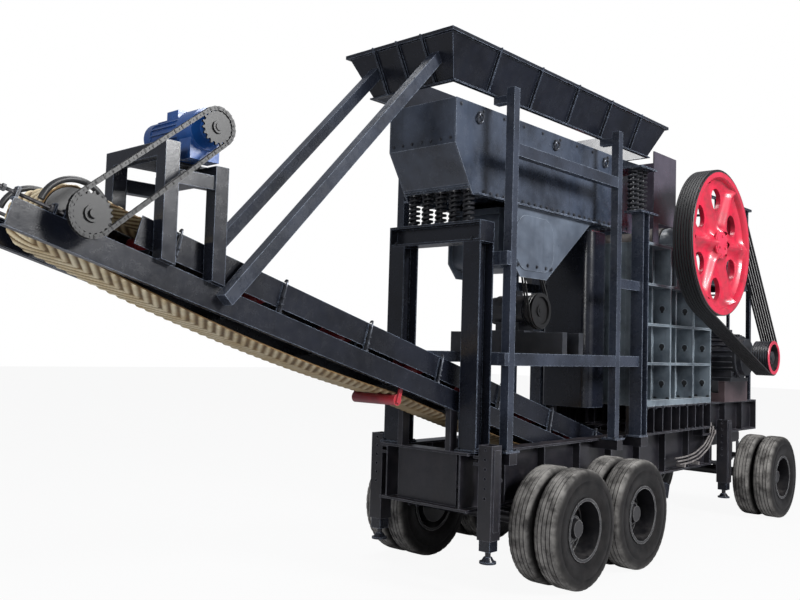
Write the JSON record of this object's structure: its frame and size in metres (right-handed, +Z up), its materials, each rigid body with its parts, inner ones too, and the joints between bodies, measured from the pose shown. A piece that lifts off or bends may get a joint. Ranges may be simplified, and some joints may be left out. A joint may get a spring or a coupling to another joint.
{
  "type": "wheeled jaw crushing plant",
  "caption": "Towed crushing plant on twin-wheel axles with feed hopper, vibrating feeder, ribbed jaw crusher with flywheels, and an inclined belt conveyor.",
  "frame": {"origin": "centre of the bounding box's foot, on the ground", "axes": "+X towards the steered bogie and the towing lugs, the conveyor's head towards -X, +Y the side of the plain flywheel, +Z up"},
  "size_m": [11.408, 2.41, 5.1098],
  "materials": {
    "frame_paint": "satin",
    "feeder_paint": "satin",
    "steel": "worn",
    "iron": "worn",
    "flywheel_paint": "satin",
    "motor_paint": "satin",
    "gear_paint": "gloss",
    "belt_rubber": "matte",
    "tyre_rubber": "matte",
    "rim_paint": "satin"
  },
  "bodies": {
    "plant": {"cabinet": "frame_paint", "chassis_frame": "frame_paint", "conveyor_belt": "belt_rubber", "conveyor_frame": "frame_paint", "conveyor_rollers": "steel", "conveyor_struts": "frame_paint", "crusher_bed": "frame_paint", "crusher_frame": "feeder_paint", "crusher_hood": "feeder_paint", "drive_belts": "belt_rubber", "drive_chain": "steel", "drive_motor": "motor_paint", "drive_stand": "frame_paint", "exciter": "feeder_paint", "feed_hopper": "frame_paint", "feeder_belt": "belt_rubber", "feeder_gantry": "frame_paint", "feeder_motor": "motor_paint", "feeder_springs": "steel", "feeder_trough": "feeder_paint", "fines_chute": "frame_paint", "fixed_jaw": "iron", "gear_motor": "gear_paint", "hopper_posts": "frame_paint", "leg_sleeves": "frame_paint", "motor_bed": "frame_paint", "rear_axles": "frame_paint", "rear_suspension": "frame_paint", "service_deck": "frame_paint", "skirt_boards": "frame_paint", "spring_columns": "frame_paint", "swing_jaw": "iron"},
    "flywheels": {"flywheel_grooved": "flywheel_paint", "flywheel_plain": "flywheel_paint", "main_shaft": "steel"},
    "motor_pulley": {"motor_pulley": "flywheel_paint"},
    "exciter_pulley": {"exciter_pulley": "steel"},
    "feeder_motor_pulley": {"feeder_motor_pulley": "steel"},
    "head_pulley": {"head_pulley": "steel"},
    "motor_sprocket": {"motor_sprocket": "steel"},
    "tail_pulley": {"tail_pulley": "steel"},
    "bogie": {"bogie_frame": "frame_paint", "bogie_suspension": "frame_paint", "front_axle": "frame_paint"},
    "wheels_rear_near": {"tyres_rear_near": "tyre_rubber", "rims_rear_near": "rim_paint"},
    "wheels_rear_far": {"tyres_rear_far": "tyre_rubber", "rims_rear_far": "rim_paint"},
    "wheels_middle_near": {"tyres_middle_near": "tyre_rubber", "rims_middle_near": "rim_paint"},
    "wheels_middle_far": {"tyres_middle_far": "tyre_rubber", "rims_middle_far": "rim_paint"},
    "wheels_front_near": {"tyres_front_near": "tyre_rubber", "rims_front_near": "rim_paint"},
    "wheels_front_far": {"tyres_front_far": "tyre_rubber", "rims_front_far": "rim_paint"},
    "leg_rear_near": {"leg_rear_near": "steel"},
    "leg_rear_far": {"leg_rear_far": "steel"},
    "leg_front_near": {"leg_front_near": "steel"},
    "leg_front_far": {"leg_front_far": "steel"}
  },
  "joints": [
    {"name": "flywheel_spin", "type": "hinge", "parent": "plant", "child": "flywheels", "pos_m": [2.75395, 0, 3.66], "axis": [0, 1, 0], "continuous": true},
    {"name": "motor_spin", "type": "hinge", "parent": "plant", "child": "motor_pulley", "pos_m": [4.62395, 0, 2.26], "axis": [0, 1, 0], "continuous": true},
    {"name": "exciter_spin", "type": "hinge", "parent": "plant", "child": "exciter_pulley", "pos_m": [-0.28605, 0, 3.38], "axis": [0, 1, 0], "continuous": true},
    {"name": "feeder_motor_spin", "type": "hinge", "parent": "plant", "child": "feeder_motor_pulley", "pos_m": [-0.00605, 0, 2.69], "axis": [0, 1, 0], "continuous": true},
    {"name": "head_pulley_spin", "type": "hinge", "parent": "plant", "child": "head_pulley", "pos_m": [-5.25605, 0, 3.01], "axis": [0, 1, 0], "continuous": true},
    {"name": "gear_motor_spin", "type": "hinge", "parent": "plant", "child": "motor_sprocket", "pos_m": [-4.36605, 0, 3.73], "axis": [0, 1, 0], "continuous": true},
    {"name": "tail_pulley_spin", "type": "hinge", "parent": "plant", "child": "tail_pulley", "pos_m": [2.91468, 0, 0.66708], "axis": [0, 1, 0], "continuous": true},
    {"name": "wheel_rear_near_spin", "type": "hinge", "parent": "plant", "child": "wheels_rear_near", "pos_m": [-0.47605, 0, 0.57], "axis": [0, 1, 0], "continuous": true},
    {"name": "wheel_rear_far_spin", "type": "hinge", "parent": "plant", "child": "wheels_rear_far", "pos_m": [-0.47605, 0, 0.57], "axis": [0, 1, 0], "continuous": true},
    {"name": "wheel_middle_near_spin", "type": "hinge", "parent": "plant", "child": "wheels_middle_near", "pos_m": [0.71395, 0, 0.57], "axis": [0, 1, 0], "continuous": true},
    {"name": "wheel_middle_far_spin", "type": "hinge", "parent": "plant", "child": "wheels_middle_far", "pos_m": [0.71395, 0, 0.57], "axis": [0, 1, 0], "continuous": true},
    {"name": "bogie_steer", "type": "hinge", "parent": "plant", "child": "bogie", "pos_m": [5.02395, 0, 1.15], "axis": [0, 0, 1], "range_deg": [-12, 12]},
    {"name": "wheel_front_near_spin", "type": "hinge", "parent": "bogie", "child": "wheels_front_near", "pos_m": [5.02395, 0, 0.57], "axis": [0, 1, 0], "continuous": true},
    {"name": "wheel_front_far_spin", "type": "hinge", "parent": "bogie", "child": "wheels_front_far", "pos_m": [5.02395, 0, 0.57], "axis": [0, 1, 0], "continuous": true},
    {"name": "leg_rear_near_slide", "type": "slide", "parent": "plant", "child": "leg_rear_near", "axis": [0, 0, -1], "range_m": [0, 0.3]},
    {"name": "leg_rear_far_slide", "type": "slide", "parent": "plant", "child": "leg_rear_far", "axis": [0, 0, -1], "range_m": [0, 0.3]},
    {"name": "leg_front_near_slide", "type": "slide", "parent": "plant", "child": "leg_front_near", "axis": [0, 0, -1], "range_m": [0, 0.3]},
    {"name": "leg_front_far_slide", "type": "slide", "parent": "plant", "child": "leg_front_far", "axis": [0, 0, -1], "range_m": [0, 0.3]}
  ],
  "couplings": [
    {"joint": "motor_spin", "follows": "flywheel_spin", "ratio": 3.913},
    {"joint": "feeder_motor_spin", "follows": "exciter_spin", "ratio": 0.57895},
    {"joint": "gear_motor_spin", "follows": "head_pulley_spin", "ratio": 1.1053}
  ]
}
